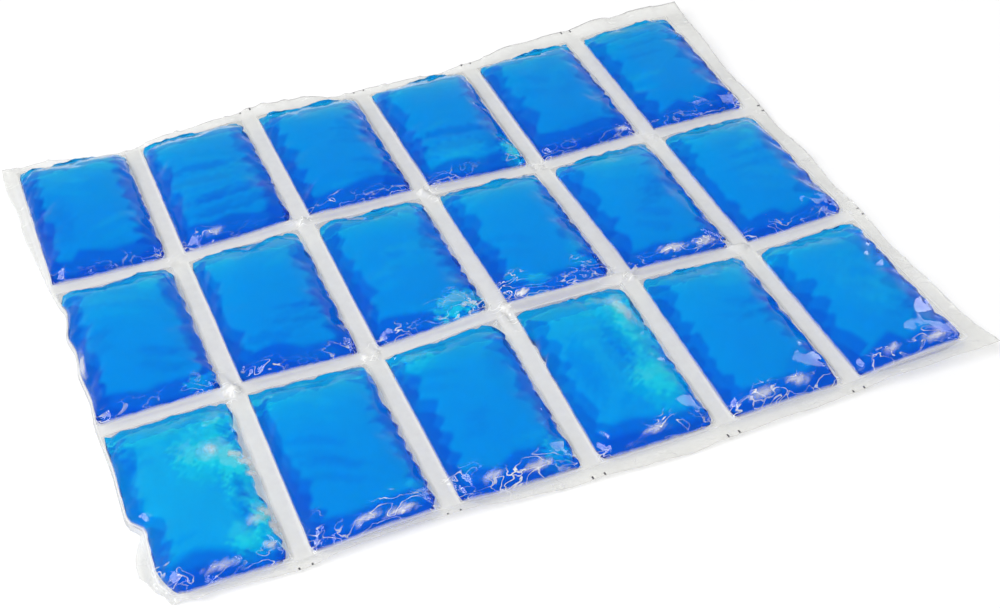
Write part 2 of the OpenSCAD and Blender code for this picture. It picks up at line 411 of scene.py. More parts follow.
# Arcs: row, column, share across and along of the middle, radius, angles, height, width
ARCS = [
    (2, 4, 0.14, 0.11, 5.0, -20, 300, 1.3, 0.7),
    (2, 4, 0.16, 0.1, 2.2, 40, 250, -0.8, 1.0),
    (3, 2, 0.62, 0.0, 9.0, 30, 170, 1.5, 0.8),
    (3, 2, 0.7, -0.02, 6.0, 20, 160, -1.1, 1.0),
    (3, 2, 0.85, 0.0, 6.5, 60, 175, 1.2, 0.8),
    (3, 3, 0.7, -0.01, 9.0, 30, 150, 1.3, 0.8),
    (3, 3, 0.5, -0.03, 7.0, 40, 150, 1.0, 0.8),
    (3, 5, 0.3, -0.03, 9.0, 30, 140, 1.3, 0.8),
    (3, 5, 0.62, -0.02, 7.5, 30, 160, 1.2, 0.8),
    (3, 6, 0.3, -0.03, 8.0, 30, 150, 1.2, 0.8),
    (3, 6, 0.7, -0.02, 9.0, 30, 150, 1.3, 0.8),
    (3, 4, 0.6, -0.02, 8.0, 30, 150, 1.2, 0.8),
    (2, 5, 0.45, -0.03, 8.0, 30, 150, 1.3, 0.8),
    (2, 5, 0.75, -0.02, 7.0, 30, 160, 1.2, 0.8),
    (2, 2, 0.25, -0.01, 5.0, 20, 150, 1.0, 0.8),
    (1, 2, 0.2, 0.02, 4.0, -30, 150, 1.0, 0.7),
    (1, 3, 0.3, -0.01, 6.0, 30, 150, 0.9, 0.8),
    (2, 3, 0.1, 0.0, 6.0, 10, 90, 0.9, 0.8),
]


def placed_creases():
    """The creases and arcs of the two lists. Those along a near seal carry thin white
    lines: wrinkles, and painted glints.
    """
    folds = np.zeros_like(X)
    for row, column, u0, v0, u1, v1, height, width in CREASES:
        wrinkles = 0.6 if max(v0, v1) < 0.2 else 0
        add_ridge(folds, in_pouch(row, column, u0, v0), in_pouch(row, column, u1, v1),
                  height, width + 0.3, 0.3, wrinkles)
    for row, column, u, v, radius, start, end, height, width in ARCS:
        add_arc(folds, in_pouch(row, column, u, v), radius, start, end, 0.7 * height,
                width + 0.2, 0.9)
    return folds


CROWN = crown_of(U, V)
FULL = FULLNESS[ROW, COLUMN]


def low_domes():
    """The upper film before the simulation swells it."""
    rise = (POUCH_H - FILM - WELD) * 0.9 * CROWN * FULL
    return np.where(INSIDE, WELD + rise, WELD)


def film_grid(name, heights):
    nothing_selected()
    bpy.ops.mesh.primitive_grid_add(
        x_subdivisions=len(XS) - 1, y_subdivisions=len(YS) - 1, size=1)
    web = bpy.context.object
    web.name = web.data.name = name
    places = points_of(web)
    i = np.rint((places[:, 0] + 0.5) * (len(XS) - 1)).astype(int)
    j = np.rint((places[:, 1] + 0.5) * (len(YS) - 1)).astype(int)
    move_points(web, np.stack([XS[i], YS[j], heights[j, i]], 1) * MM)
    return web, i, j


def blow_up(web, i, j):
    """The pouches swell and slacken while the welds are held."""
    held = web.vertex_groups.new(name="held")
    held.add([int(k) for k in np.flatnonzero(~INSIDE[j, i])], 1.0, "REPLACE")
    cloth = web.modifiers.new("Cloth", "CLOTH")
    s = cloth.settings
    s.quality = 5
    s.mass = 0.05
    s.tension_stiffness = s.compression_stiffness = 15
    s.shear_stiffness = 6
    s.bending_stiffness = 0.3
    s.tension_damping = s.compression_damping = s.shear_damping = 8
    s.bending_damping = 0.5
    s.air_damping = 2
    s.vertex_group_mass = "held"
    s.pin_stiffness = 1
    s.shrink_min = -0.012
    s.use_pressure = True
    s.uniform_pressure_force = 4
    s.effector_weights.gravity = 0
    cloth.collision_settings.use_collision = False
    cloth.collision_settings.use_self_collision = False
    cloth.point_cache.frame_start, cloth.point_cache.frame_end = 1, 20
    for step in range(1, 21):
        scene.frame_set(step)
    nothing_selected()
    web.select_set(True)
    bpy.context.view_layer.objects.active = web
    bpy.ops.object.modifier_apply(modifier="Cloth")
    web.vertex_groups.clear()
    scene.frame_set(1)


upper_film, gi, gj = film_grid("film_upper", low_domes())
blow_up(upper_film, gi, gj)
swollen = np.zeros_like(X)
swollen[gj, gi] = points_of(upper_film)[:, 2] / MM
rise = swollen - low_domes()
UPPER = low_domes() + np.clip(rise, SLACKEN, SWELL)
FOLDS = gathers() + corner_folds() + placed_creases()
UPPER = np.where(INSIDE, UPPER + FOLDS * ease((UPPER - WELD) / 1.5), WELD)
UPPER = np.minimum(UPPER, POUCH_H - FILM + FOLDS_UP)
UPPER = np.where(INSIDE, np.maximum(UPPER, WELD + 0.12), WELD)

# The lower web bulges down as far as the surface lets it
LOWER = np.where(INSIDE, np.maximum(WELD - (WELD - FILM) * np.minimum(
    1, 2.2 * crown_of(U, V)), FILM + 0.01), WELD)


# How far the film's edge lies outside or inside its place, at even steps along it
FAR_EDGE = [-1, -7, -8, -3, -1, 0, -4, -4, -4, 4, 1, 4, 1]
NEAR_EDGE = [-2, -6, -4, -6, -6, -3, -2, 0, -1, -1.5, -3, -2, -0.5]
RIGHT_EDGE = [1, -4, -4, -3, -2, -3.5, 0.5]
# Share of the left margin that is folded down under the mat, by the place along it
LEFT_FOLD = {-148: 0.5, -130: 0.4, -120: 0.35, -111: 0.4, -102: 1, -90: 1, 36: 1,
             50: 0.8, 70: 0.6, 93: 0.42, 104: 0.42, 109: 0.68, 116: 0.33, 138: 0.3,
             148: 0.42}
# How far the left side is pushed in, by the place along it, and how much further near
# the near left corner
LEFT_SWAY = {-148: -0.5, -125: -1.2, -115: -0.6, -107: 0, -103: 2.6, -99: 0.2, -96: -0.6,
             -70: 0.4, -43: -0.6, -28: 0.6, -10: -0.8, 0: 0.6, 5: 0.8, 14: -1, 24: 1.2,
             31: 2.2, 37: 0.4, 50: -0.6, 60: 0, 148: 0}
NEAR_LEFT_PUSH = 4.5
# The near left corner is bunched up past this line, x + y = CORNER
CORNER = -303.0


def jagged(line, step, low, high):
    """An irregular toothed line: a value for each place, from low to high."""
    knots = np.arange(0, line.max() + 2 * step, step)
    knots = knots + random.uniform(-0.35, 0.35, len(knots)) * step
    values = random.uniform(0, 1, len(knots)) ** 1.6
    return low + (high - low) * np.interp(line, knots, values)


def smooth_between(at, places, values, spread=9):
    """Values between places, with no corners."""
    fine = np.linspace(min(places), max(places), 600)
    line = np.interp(fine, places, values)
    step = max(3, int(len(fine) * spread / (max(places) - min(places))))
    padded_line = np.pad(line, step, mode="edge")
    line = np.convolve(padded_line, np.ones(2 * step + 1) / (2 * step + 1), "valid")
    return np.interp(at, fine, line)


def settle(x, y, z, out=0.0):
    """Where a place of the mat comes to lie: margins wander, the left one folds down
    and the near left corner is bunched. out is a web's distance out from the weld's
    middle, below zero for the lower web."""
    half_w, half_l = GRID_W / 2, GRID_L / 2
    far = np.clip((y - half_l) / END_MARGIN, 0, 1)
    near = np.clip((-half_l - y) / END_MARGIN, 0, 1)
    right = np.clip((x - half_w) / SIDE_MARGIN, 0, 1)
    stations = np.linspace(-186, 186, 13)
    upright = np.linspace(-148, 148, 7)
    new_x = x + right * smooth_between(y, upright, RIGHT_EDGE)
    new_y = (y + far * smooth_between(x, stations, FAR_EDGE)
             - near * smooth_between(x, stations, NEAR_EDGE))
    ripple = (0.8 * np.sin(x / 9.1 + 0.6 * np.sin(x / 23)) + 0.5 * np.sin(x / 4.3 + 1))
    new_z = z + (far + 0.7 * near) * ripple + right * 0.9 * np.sin(y / 8.3 + 1)
    new_z = np.where(far + near + right > 0, np.maximum(new_z, 0.4), new_z)

    # The left margin turns down and under, along a half circle
    past = np.maximum(-half_w - x, 0)
    fold = smooth_between(y, list(LEFT_FOLD), list(LEFT_FOLD.values()))
    radius = np.maximum(new_z - 0.5, 1.0) / 2
    turn = math.pi * np.clip(past / (math.pi * radius), 0, 1)
    spare = np.maximum(past - math.pi * radius, 0)
    tucked_x = -half_w - (0.35 * radius + out) * np.sin(turn) + 0.15 * spare
    tucked_z = new_z - radius + (radius + out) * np.cos(turn)
    folded = (past > 0) * fold
    new_x = new_x * (1 - folded) + tucked_x * folded
    new_z = new_z * (1 - folded) + np.where(past > 0, tucked_z, new_z) * folded
    sway = smooth_between(y, list(LEFT_SWAY), list(LEFT_SWAY.values()), 2)
    new_x = new_x + sway * ease((-155 - x) / 22)
    new_x = new_x + NEAR_LEFT_PUSH * ease((-99 - y) / 9) * ease((-148 - x) / 26)

    # The near left corner is bunched up and rippled
    past_corner = np.maximum(CORNER - (new_x + new_y), 0) / math.sqrt(2)
    pull = 0.62 * past_corner / math.sqrt(2)
    new_z = new_z + 0.9 * ease(past_corner / 4) * np.sin((new_x - new_y) / 2.1)
    new_z = np.where(past_corner > 0, np.maximum(new_z, 0.3), new_z)
    return np.dstack([new_x + pull, new_y + pull, new_z + out * (turn == 0)])


# Painted highlights, painted as white hazy patches of the film: row, column, share across
# and along of the middle, half width and half length in millimetres, turn in degrees,
# strength
HIGHLIGHT_PATCHES = [
    (3, 1, 0.72, 0.66, 2.4, 3.0, 20, 0.3), (3, 1, 0.88, 0.62, 3.0, 1.8, -20, 0.5),
    (3, 1, 0.93, 0.57, 2.0, 1.5, 0, 0.8), (3, 1, 0.95, 0.5, 2.0, 1.2, 10, 0.7),
    (3, 1, 0.94, 0.27, 2.4, 3.0, 30, 0.6), (3, 1, 0.85, 0.22, 4.0, 2.0, 20, 0.25),
    (3, 1, 0.96, 0.18, 2.0, 3.0, 10, 0.7), (3, 1, 0.88, 0.08, 2.5, 1.5, 0, 0.4),
    (3, 1, 0.5, 0.05, 7.0, 1.2, 0, 0.25), (3, 4, 0.84, 0.8, 3.0, 9.0, 15, 0.25),
    (3, 4, 0.5, 0.05, 5.0, 1.2, 0, 0.35), (3, 2, 0.45, 0.05, 5.0, 1.4, 8, 0.4),
    (3, 2, 0.7, 0.04, 6.0, 1.2, 0, 0.45), (3, 3, 0.3, 0.06, 4.0, 1.5, 0, 0.35),
    (3, 3, 0.66, 0.05, 6.0, 1.4, 5, 0.4), (3, 5, 0.3, 0.05, 5.0, 1.5, 0, 0.4),
    (3, 5, 0.62, 0.06, 5.0, 1.6, -8, 0.4), (3, 6, 0.35, 0.06, 4.0, 1.6, 10, 0.35),
    (3, 6, 0.75, 0.05, 6.0, 1.5, 0, 0.4), (2, 5, 0.45, 0.06, 6.0, 1.8, 0, 0.5),
    (2, 5, 0.75, 0.05, 5.0, 1.5, 0, 0.45), (2, 4, 0.16, 0.04, 3.0, 1.2, 0, 0.8),
    (2, 3, 0.85, 0.07, 4.0, 1.2, 15, 0.4), (1, 5, 0.85, 0.05, 4.0, 1.2, 0, 0.4),
    (1, 2, 0.3, 0.05, 4.0, 1.2, 0, 0.3), (2, 1, 0.04, 0.4, 1.2, 7.0, 0, 0.4),
]
SEAL_HAZE, NEAR_MARGIN_HAZE = 0.42, 0.2


def film_marks():
    """Painted highlights in white patches over the pouches; seals and far margins are
    hazy, and near margins less so; thin white lines, wrinkles with painted glints, run
    along the near edges of the pouches and up from their near corners."""
    for row, column, u, v, half_w, half_l, turn, strength in HIGHLIGHT_PATCHES:
        haze_highlight_patch(*in_pouch(row, column, u, v), half_w, half_l, turn, strength)
    in_grid = (np.abs(X) < GRID_W / 2 + 0.1) & (np.abs(Y) < GRID_L / 2 + 0.1)
    haze = np.where(in_grid | (Y > 0), SEAL_HAZE, NEAR_MARGIN_HAZE)
    HAZE_AND_HIGHLIGHTS[:] = np.maximum(HAZE_AND_HIGHLIGHTS, np.where(INSIDE, 0, haze))
    from_near = V * POUCH_L
    for row in range(1, ROWS + 1):
        for column in range(1, COLUMNS + 1):
            here = INSIDE & (ROW == ROWS - row) & (COLUMN == column - 1)
            # Thin white lines along the near edges, stronger in the nearer rows:
            # wrinkles, and painted glints
            uneven = jagged(U * POUCH_W, 11, 0, 1) * (0.35, 0.6, 0.8)[row - 1]
            near = np.where(here, uneven * bump((from_near - 2.2) / 5.5), 0)
            WRINKLES_AND_GLINTS[:] = np.maximum(WRINKLES_AND_GLINTS, near)
            for u in (0, 1):
                x, y = in_pouch(row, column, u, 0)
                corner = random.uniform(0.2, 1) * bump(np.hypot(X - x, Y - y) / 9)
                WRINKLES_AND_GLINTS[:] = np.maximum(WRINKLES_AND_GLINTS, np.where(here, corner, 0))


def mark_haze_lines_and_highlights(web, i, j):
    for name, marks in (("haze_and_highlight", HAZE_AND_HIGHLIGHTS), ("wrinkles_and_glints", WRINKLES_AND_GLINTS)):
        values = web.data.attributes.new(name, "FLOAT", "POINT")
        values.data.foreach_set("value", np.clip(marks, 0, 1)[j, i])


def heights_at(grid, x, y):
    """Heights of a web, in millimetres, between its lines."""
    i = np.clip(np.searchsorted(XS, x) - 1, 0, len(XS) - 2)
    j = np.clip(np.searchsorted(YS, y) - 1, 0, len(YS) - 2)
    s = (x - XS[i]) / (XS[i + 1] - XS[i])
    t = (y - YS[j]) / (YS[j + 1] - YS[j])
    return ((grid[j, i] * (1 - s) + grid[j, i + 1] * s) * (1 - t)
            + (grid[j + 1, i] * (1 - s) + grid[j + 1, i + 1] * s) * t)


film_marks()
move_points(upper_film, settle(X, Y, UPPER, WEB_GAP / 2)[gj, gi] * MM)
mark_haze_lines_and_highlights(upper_film, gi, gj)
lower_film, gi, gj = film_grid("film_lower", LOWER)
move_points(lower_film, settle(X, Y, LOWER, -WEB_GAP / 2)[gj, gi] * MM)


# Painted light and painted shade in the gel's tint, where it looks shallower or deeper:
# row, column, share across and along of the middle, half width and half length in
# millimetres, turn in degrees, change of depth
LIGHT_SHADE_PATCHES = [
    (1, 2, 0.42, 0.56, 17, 3, -4, 0.25), (1, 2, 0.4, 0.44, 16, 5, 0, -0.14),
    (1, 2, 0.6, 0.3, 20, 4, 8, 0.28), (1, 4, 0.42, 0.2, 15, 6, -8, -0.25),
    (1, 4, 0.5, 0.34, 19, 3.5, -6, 0.25), (1, 4, 0.93, 0.16, 5, 10, 0, -0.7),
    (2, 3, 0.78, 0.09, 13, 6, 18, -0.85), (2, 4, 0.34, 0.08, 6, 3.5, 0, -0.5),
    (2, 4, 0.87, 0.3, 4, 10, 0, -0.22), (2, 1, 0.88, 0.06, 9, 3, 12, -0.7),
    (2, 1, 0.72, 0.86, 4, 8, 15, -0.12), (3, 1, 0.45, 0.5, 40, 60, 0, -0.17),
    (3, 1, 0.72, 0.7, 14, 11, 0, -0.4), (3, 1, 0.9, 0.48, 7, 24, 0, -0.4),
    (3, 1, 0.84, 0.14, 11, 9, 0, -0.4), (3, 1, 0.55, 0.8, 8, 4, 10, 0.15),
    (3, 1, 0.8, 0.3, 3, 7, 0, 0.25), (3, 1, 0.9, 0.88, 8, 8, 0, -0.4),
    (3, 1, 0.72, 0.66, 4, 4, 0, -0.5), (3, 1, 0.9, 0.6, 5, 4, 0, -0.5),
    (3, 1, 0.93, 0.25, 4, 7, 0, -0.6), (3, 1, 0.86, 0.42, 3, 7, 0, 0.5),
    (3, 1, 0.78, 0.78, 10, 3.5, 20, 0.3),
    (3, 2, 0.07, 0.95, 6, 5, 0, -0.7), (3, 2, 0.9, 0.13, 4, 4, 0, -0.3),
    (3, 3, 0.18, 0.93, 10, 5, -15, -0.35), (3, 3, 0.86, 0.1, 7, 6, 0, -0.6),
    (3, 4, 0.5, 0.5, 40, 60, 0, -0.1), (3, 4, 0.87, 0.72, 8, 20, 0, -0.45),
    (3, 4, 0.78, 0.35, 12, 14, 15, -0.38), (3, 4, 0.8, 0.93, 12, 6, 0, -0.5),
    (3, 4, 0.62, 0.58, 4, 16, 10, 0.25), (3, 4, 0.25, 0.5, 6, 18, 0, 0.15),
    (3, 6, 0.6, 0.5, 12, 20, 30, -0.1), (1, 5, 0.5, 0.15, 14, 5, 0, 0.1),
    (1, 1, 0.2, 0.45, 9, 16, 0, 0.12), (2, 6, 0.9, 0.9, 6, 6, 0, -0.3),
    (3, 6, 0.06, 0.93, 5, 5, 0, -0.3), (2, 5, 0.95, 0.95, 5, 5, 0, -0.3),
    (1, 4, 0.95, 0.06, 6, 5, 0, -0.4), (1, 1, 0.1, 0.97, 9, 4, 0, -0.3),
]
# How far the gel's rim stands back from a side where that shows, in millimetres: row,
# column, side, the share along it of the middle, half the length and the depth
STANDING_BACK = [(3, 4, "left", 0.78, 20, 4.0), (3, 4, "left", 0.5, 22, 1.6),
                 (3, 1, "right", 0.58, 34, 3.4), (3, 1, "right", 0.2, 14, 2.6),
                 (1, 4, "left", 0.6, 12, 1.2), (2, 4, "left", 0.9, 10, 1.2)]


def gel_fill(name, row, column):
    """A fill as far as the webs stand apart, with a toothed rim along its gathers."""
    x0, y0 = in_pouch(row, column, 0, 0)
    across, along = crowded_shares(GEL_W, 0.1), crowded_shares(GEL_L, 0.1)
    left = jagged(along * POUCH_L, 4, 0.35, 0.8)
    right = jagged(along * POUCH_L, 3, 0.3, 2.2)
    near = jagged(across * POUCH_W, 4, 0.12, 0.35)
    far = jagged(across * POUCH_W, 3, 0.35, 1.6)
    for side in (left, right, near, far):
        line = along * POUCH_L if len(side) == len(along) else across * POUCH_W
        for from_corner in (line, line[-1] - line):
            side += random.uniform(0, 2.4) * np.clip(
                1 - from_corner / random.uniform(3, 8), 0, 1) ** 2
    if (row, column) == (3, 1):
        left = left + 3.2 * np.clip(1 - along * POUCH_L / 13, 0, 1)
        near = near + 2.6 * np.clip(1 - across * POUCH_W / 10, 0, 1)
    for r, c, side, middle, half, deep in STANDING_BACK:
        if (r, c) == (row, column):
            teeth = jagged(along * POUCH_L, 3.2, 0.35, 1.0)
            more = deep * teeth * bump((along - middle) * POUCH_L / half)
            left, right = (left + more, right) if side == "left" else (left, right + more)

    nothing_selected()
    bpy.ops.mesh.primitive_grid_add(x_subdivisions=GEL_W, y_subdivisions=GEL_L, size=1)
    fill = bpy.context.object
    fill.name = fill.data.name = name
    bpy.ops.object.mode_set(mode="EDIT")
    bpy.ops.mesh.select_all(action="SELECT")
    bpy.ops.mesh.extrude_region_move(TRANSFORM_OT_translate={"value": (0, 0, 1)})
    bpy.ops.mesh.select_all(action="SELECT")
    bpy.ops.mesh.normals_make_consistent(inside=False)
    bpy.ops.object.mode_set(mode="OBJECT")
    places = points_of(fill)
    i = np.rint((places[:, 0] + 0.5) * GEL_W).astype(int)
    j = np.rint((places[:, 1] + 0.5) * GEL_L).astype(int)
    is_top = places[:, 2] > 0.5
    u, v = across[i], along[j]
    x = x0 + left[j] + u * (POUCH_W - left[j] - right[j])
    y = y0 + near[i] + v * (POUCH_L - near[i] - far[i])
    low, top = heights_at(LOWER, x, y), heights_at(UPPER, x, y)
    rim = (i == 0) | (j == 0) | (i == GEL_W) | (j == GEL_L)
    gap = 0.05
    z = np.where(is_top, top - gap, low + gap)
    middle = (low + top) / 2
    inward = np.minimum(np.minimum(x - x0 - left[j], x0 + POUCH_W - right[j] - x),
                        np.minimum(3 * (y - y0 - near[i]), y0 + POUCH_L - far[i] - y))
    rounding = np.sqrt(1 - (1 - np.clip(inward / 1.8, 0, 1)) ** 2)
    z = middle + (z - middle) * rounding
    z = np.where(rim, middle + np.where(is_top, 0.04, -0.04), z)
    move_points(fill, settle(x, y, z)[0] * MM)

    # How deep the gel looks, with painted shade: over its flanks and near side it looks
    # deeper, with a toothed border
    to_left = x - x0 - jagged(y - y0, 4, 4.5, 11)
    to_right = x0 + POUCH_W - x - jagged(y - y0, 3.5, 4.5, 12.5)
    to_near = y - y0 - jagged(x - x0, 9, 7, 13)
    to_far = y0 + POUCH_L - y - jagged(x - x0, 3, 2, 5)
    sides = np.maximum(ease(0.5 - to_left / 1.6), 0.9 * ease(0.5 - to_right / 1.6))
    depth = 0.5 + np.maximum(0.42 * sides, 0.6 * ease(0.5 - to_near / 5))
    # Painted light: lighter towards the far end of each fill, away from its flanks
    far_light = jagged(x - x0, 14, 0.15, 0.5)
    depth = depth - far_light * bump((POUCH_L + y0 - y) / 20) * (1 - sides)
    # Painted shade and painted light: darker towards the near end, lighter towards the
    # far end
    depth = depth + 0.16 * (0.5 - v)
    streaks = [(row, column, random.uniform(0.2, 0.85), random.uniform(0.08, 0.92),
                random.uniform(5, 15), random.uniform(1.5, 4), random.uniform(-35, 35),
                random.choice([-0.13, -0.1, 0.12, 0.17])) for k in range(4)]
    # Painted light and painted shade from the listed patches, with random streaks of tone
    for r, c, mid_u, mid_v, half_w, half_l, turn, change in LIGHT_SHADE_PATCHES + streaks:
        if (r, c) == (row, column):
            a, b = (u - mid_u) * POUCH_W, (v - mid_v) * POUCH_L
            turn = math.radians(turn)
            along_it = a * math.cos(turn) + b * math.sin(turn)
            across_it = b * math.cos(turn) - a * math.sin(turn)
            ragged = (0.16 * np.sin(1.1 * a + 2 * np.sin(0.7 * b))
                      + 0.14 * np.sin(1.7 * b + a))
            apart = np.hypot(along_it / half_w, across_it / half_l) + ragged
            depth = depth + change * ease((1.05 - apart) * 5)
    # Painted light: lighter along the far rim
    depth = depth * (1 - 0.8 * ease(0.5 - to_far / 1.5))
    from_far = (1 - v) * (POUCH_L - near[i] - far[i])
    for name, values in (("depth", depth), ("from_far", from_far)):
        shade = fill.data.attributes.new(name, "FLOAT", "POINT")
        shade.data.foreach_set("value", values)
    return fill


gel_fills = {}
for row in range(1, ROWS + 1):
    for column in range(1, COLUMNS + 1):
        name = "r%d_c%d" % (row, column)
        gel_fills["gel_" + name] = gel_fill("fill_" + name, row, column)


def edge_marks():
    """Small printed register marks at the film's edge, a pair at each seal, each with
    its place and its half width and half length."""
    from_edge = 1.3
    nothing_selected()
    bpy.ops.mesh.primitive_grid_add(x_subdivisions=1, y_subdivisions=1, size=1)
    marks = bpy.context.object
    marks.name = marks.data.name = "register_marks"
    bpy.ops.object.mode_set(mode="EDIT")
    places = [(-GRID_W / 2 - SIDE_SEAL / 2 + c * PITCH_X + d, edge, 0.35, 0.9)
              for c in range(1, COLUMNS) for d in (-2.6, 2.6)
              for edge in (GRID_L / 2 + END_MARGIN - from_edge,
                           -GRID_L / 2 - END_MARGIN + from_edge)]
    places += [(GRID_W / 2 + SIDE_MARGIN - from_edge,
                -GRID_L / 2 - END_SEAL / 2 + r * PITCH_Y + d, 0.9, 0.35)
               for r in range(1, ROWS) for d in (-2.3, 2.3)]
    for k in range(1, len(places)):
        bpy.ops.mesh.primitive_grid_add(x_subdivisions=1, y_subdivisions=1, size=1,
                                        location=(3 * k, 0, 0))
    bpy.ops.object.mode_set(mode="OBJECT")
    points = points_of(marks)
    k = np.rint(points[:, 0] / 3).astype(int)
    middle, half = np.array(places)[k, :2], np.array(places)[k, 2:]
    x = middle[:, 0] + 2 * (points[:, 0] - 3 * k) * half[:, 0]
    y = middle[:, 1] + 2 * points[:, 1] * half[:, 1]
    z = heights_at(UPPER, x, y) + FILM + 0.04
    move_points(marks, settle(x, y, z)[0] * MM)
    apply_modifier(marks, "SOLIDIFY", thickness=0.00003, offset=1)
    return marks


register_marks = edge_marks()
apply_modifier(upper_film, "SOLIDIFY", thickness=FILM * MM, offset=1)
apply_modifier(lower_film, "SOLIDIFY", thickness=FILM * MM, offset=-1)
for piece in [upper_film, lower_film, *gel_fills.values()]:
    nothing_selected()
    piece.select_set(True)
    bpy.context.view_layer.objects.active = piece
    bpy.ops.object.shade_smooth()


# Materials

def new_material(name):
    m = bpy.data.materials.new(name)
    m.use_nodes = True
    m.node_tree.nodes.clear()
    return m, m.node_tree.nodes, m.node_tree.links


def math_node(nodes, operation, *values):
    """A step of arithmetic. None is left to a link."""
    node = nodes.new("ShaderNodeMath")
    node.operation = operation
    for socket, value in zip(node.inputs, values):
        if value is not None:
            socket.default_value = value
    return node


def noise_node(nodes, scale, detail=2.0, distortion=0.0):
    node = nodes.new("ShaderNodeTexNoise")
    node.inputs["Scale"].default_value = scale
    node.inputs["Detail"].default_value = detail
    node.inputs["Distortion"].default_value = distortion
    return node


def bump_node(nodes, strength, distance):
    node = nodes.new("ShaderNodeBump")
    node.inputs["Strength"].default_value = strength
    node.inputs["Distance"].default_value = distance
    return node


def attribute_node(nodes, name):
    node = nodes.new("ShaderNodeAttribute")
    node.attribute_name = name
    return node


def range_node(nodes, start, end):
    """0 at start and 1 at end."""
    node = nodes.new("ShaderNodeMapRange")
    node.inputs["From Min"].default_value = start
    node.inputs["From Max"].default_value = end
    return node


def ramp_node(nodes, *stops):
    """A colour ramp: the place and the colour of each stop, in order."""
    node = nodes.new("ShaderNodeValToRGB")
    ramp = node.color_ramp.elements
    ramp[0].position, ramp[1].position = stops[0][0], stops[-1][0]
    for place, colour in stops[1:-1]:
        ramp.new(place)
    for element, (place, colour) in zip(ramp, stops):
        element.color = colour
    return node


def clear_film():
    """Clear film that reflects more at a slant, hazy where it is creased and white in
    painted highlight patches, with thin white lines along its wrinkles and painted glints
    along the near seals."""
    m, nodes, links = new_material("clear_film")
    out = nodes.new("ShaderNodeOutputMaterial")
    where = nodes.new("ShaderNodeTexCoord")
    see_through = nodes.new("ShaderNodeBsdfTransparent")
    see_through.inputs["Color"].default_value = (0.985, 0.985, 0.978, 1)
    gloss = nodes.new("ShaderNodeBsdfGlossy")
    gloss.inputs["Roughness"].default_value = 0.045
    facing = nodes.new("ShaderNodeLayerWeight")
    facing.inputs["Blend"].default_value = 0.5
    power = math_node(nodes, "POWER", None, 5)
    share = math_node(nodes, "MULTIPLY_ADD", None, 0.95, 0.025)
    sides = nodes.new("ShaderNodeNewGeometry")
    front = math_node(nodes, "SUBTRACT", 1)
    front_share = math_node(nodes, "MULTIPLY")
    crinkle = noise_node(nodes, 220, 3)
    relief = bump_node(nodes, 0.12, 0.0006)
    mix = nodes.new("ShaderNodeMixShader")
    links.new(where.outputs["Object"], crinkle.inputs["Vector"])
    links.new(crinkle.outputs["Fac"], relief.inputs["Height"])
    links.new(relief.outputs["Normal"], gloss.inputs["Normal"])
    links.new(facing.outputs["Facing"], power.inputs[0])
    links.new(power.outputs[0], share.inputs[0])
    links.new(sides.outputs["Backfacing"], front.inputs[1])
    links.new(front.outputs[0], front_share.inputs[0])
    links.new(share.outputs[0], front_share.inputs[1])
    links.new(front_share.outputs[0], mix.inputs[0])
    links.new(see_through.outputs[0], mix.inputs[1])
    links.new(gloss.outputs[0], mix.inputs[2])

    # Haze, and painted highlight patches
    haze_and_highlight = attribute_node(nodes, "haze_and_highlight")
    patchy = math_node(nodes, "MULTIPLY_ADD", None, 0.2, 0.9)
    broken = math_node(nodes, "MULTIPLY")
    links.new(haze_and_highlight.outputs["Fac"], broken.inputs[0])
    links.new(crinkle.outputs["Fac"], patchy.inputs[0])
    links.new(patchy.outputs[0], broken.inputs[1])

    # The lines follow where a stretched noise crosses its middle
    stretched = nodes.new("ShaderNodeMapping")
    stretched.inputs["Scale"].default_value = (0.7, 1.5, 0.6)
    folds = noise_node(nodes, 150, 1.5, 0.8)
    level = math_node(nodes, "SUBTRACT", None, 0.5)
    apart = math_node(nodes, "ABSOLUTE")
    line = range_node(nodes, 0.018, 0.004)
    # Thin white lines: wrinkles, and painted glints along the near seals
    wrinkles_and_glints = attribute_node(nodes, "wrinkles_and_glints")
    lined = math_node(nodes, "MULTIPLY")
    both = math_node(nodes, "ADD")
    both.use_clamp = True
    # White of the haze and of the thin lines, and of the painted highlights and glints
    white = nodes.new("ShaderNodeBsdfDiffuse")
    white.inputs["Color"].default_value = (0.88, 0.88, 0.87, 1)
    whitened = nodes.new("ShaderNodeMixShader")
    links.new(where.outputs["Object"], stretched.inputs["Vector"])
    links.new(stretched.outputs[0], folds.inputs["Vector"])
    links.new(folds.outputs["Fac"], level.inputs[0])
    links.new(level.outputs[0], apart.inputs[0])
    links.new(apart.outputs[0], line.inputs["Value"])
    links.new(line.outputs[0], lined.inputs[0])
    links.new(wrinkles_and_glints.outputs["Fac"], lined.inputs[1])
    links.new(lined.outputs[0], both.inputs[0])
    links.new(broken.outputs[0], both.inputs[1])
    links.new(both.outputs[0], whitened.inputs[0])
    links.new(mix.outputs[0], whitened.inputs[1])
    links.new(white.outputs[0], whitened.inputs[2])
    links.new(whitened.outputs[0], out.inputs["Surface"])
    return m


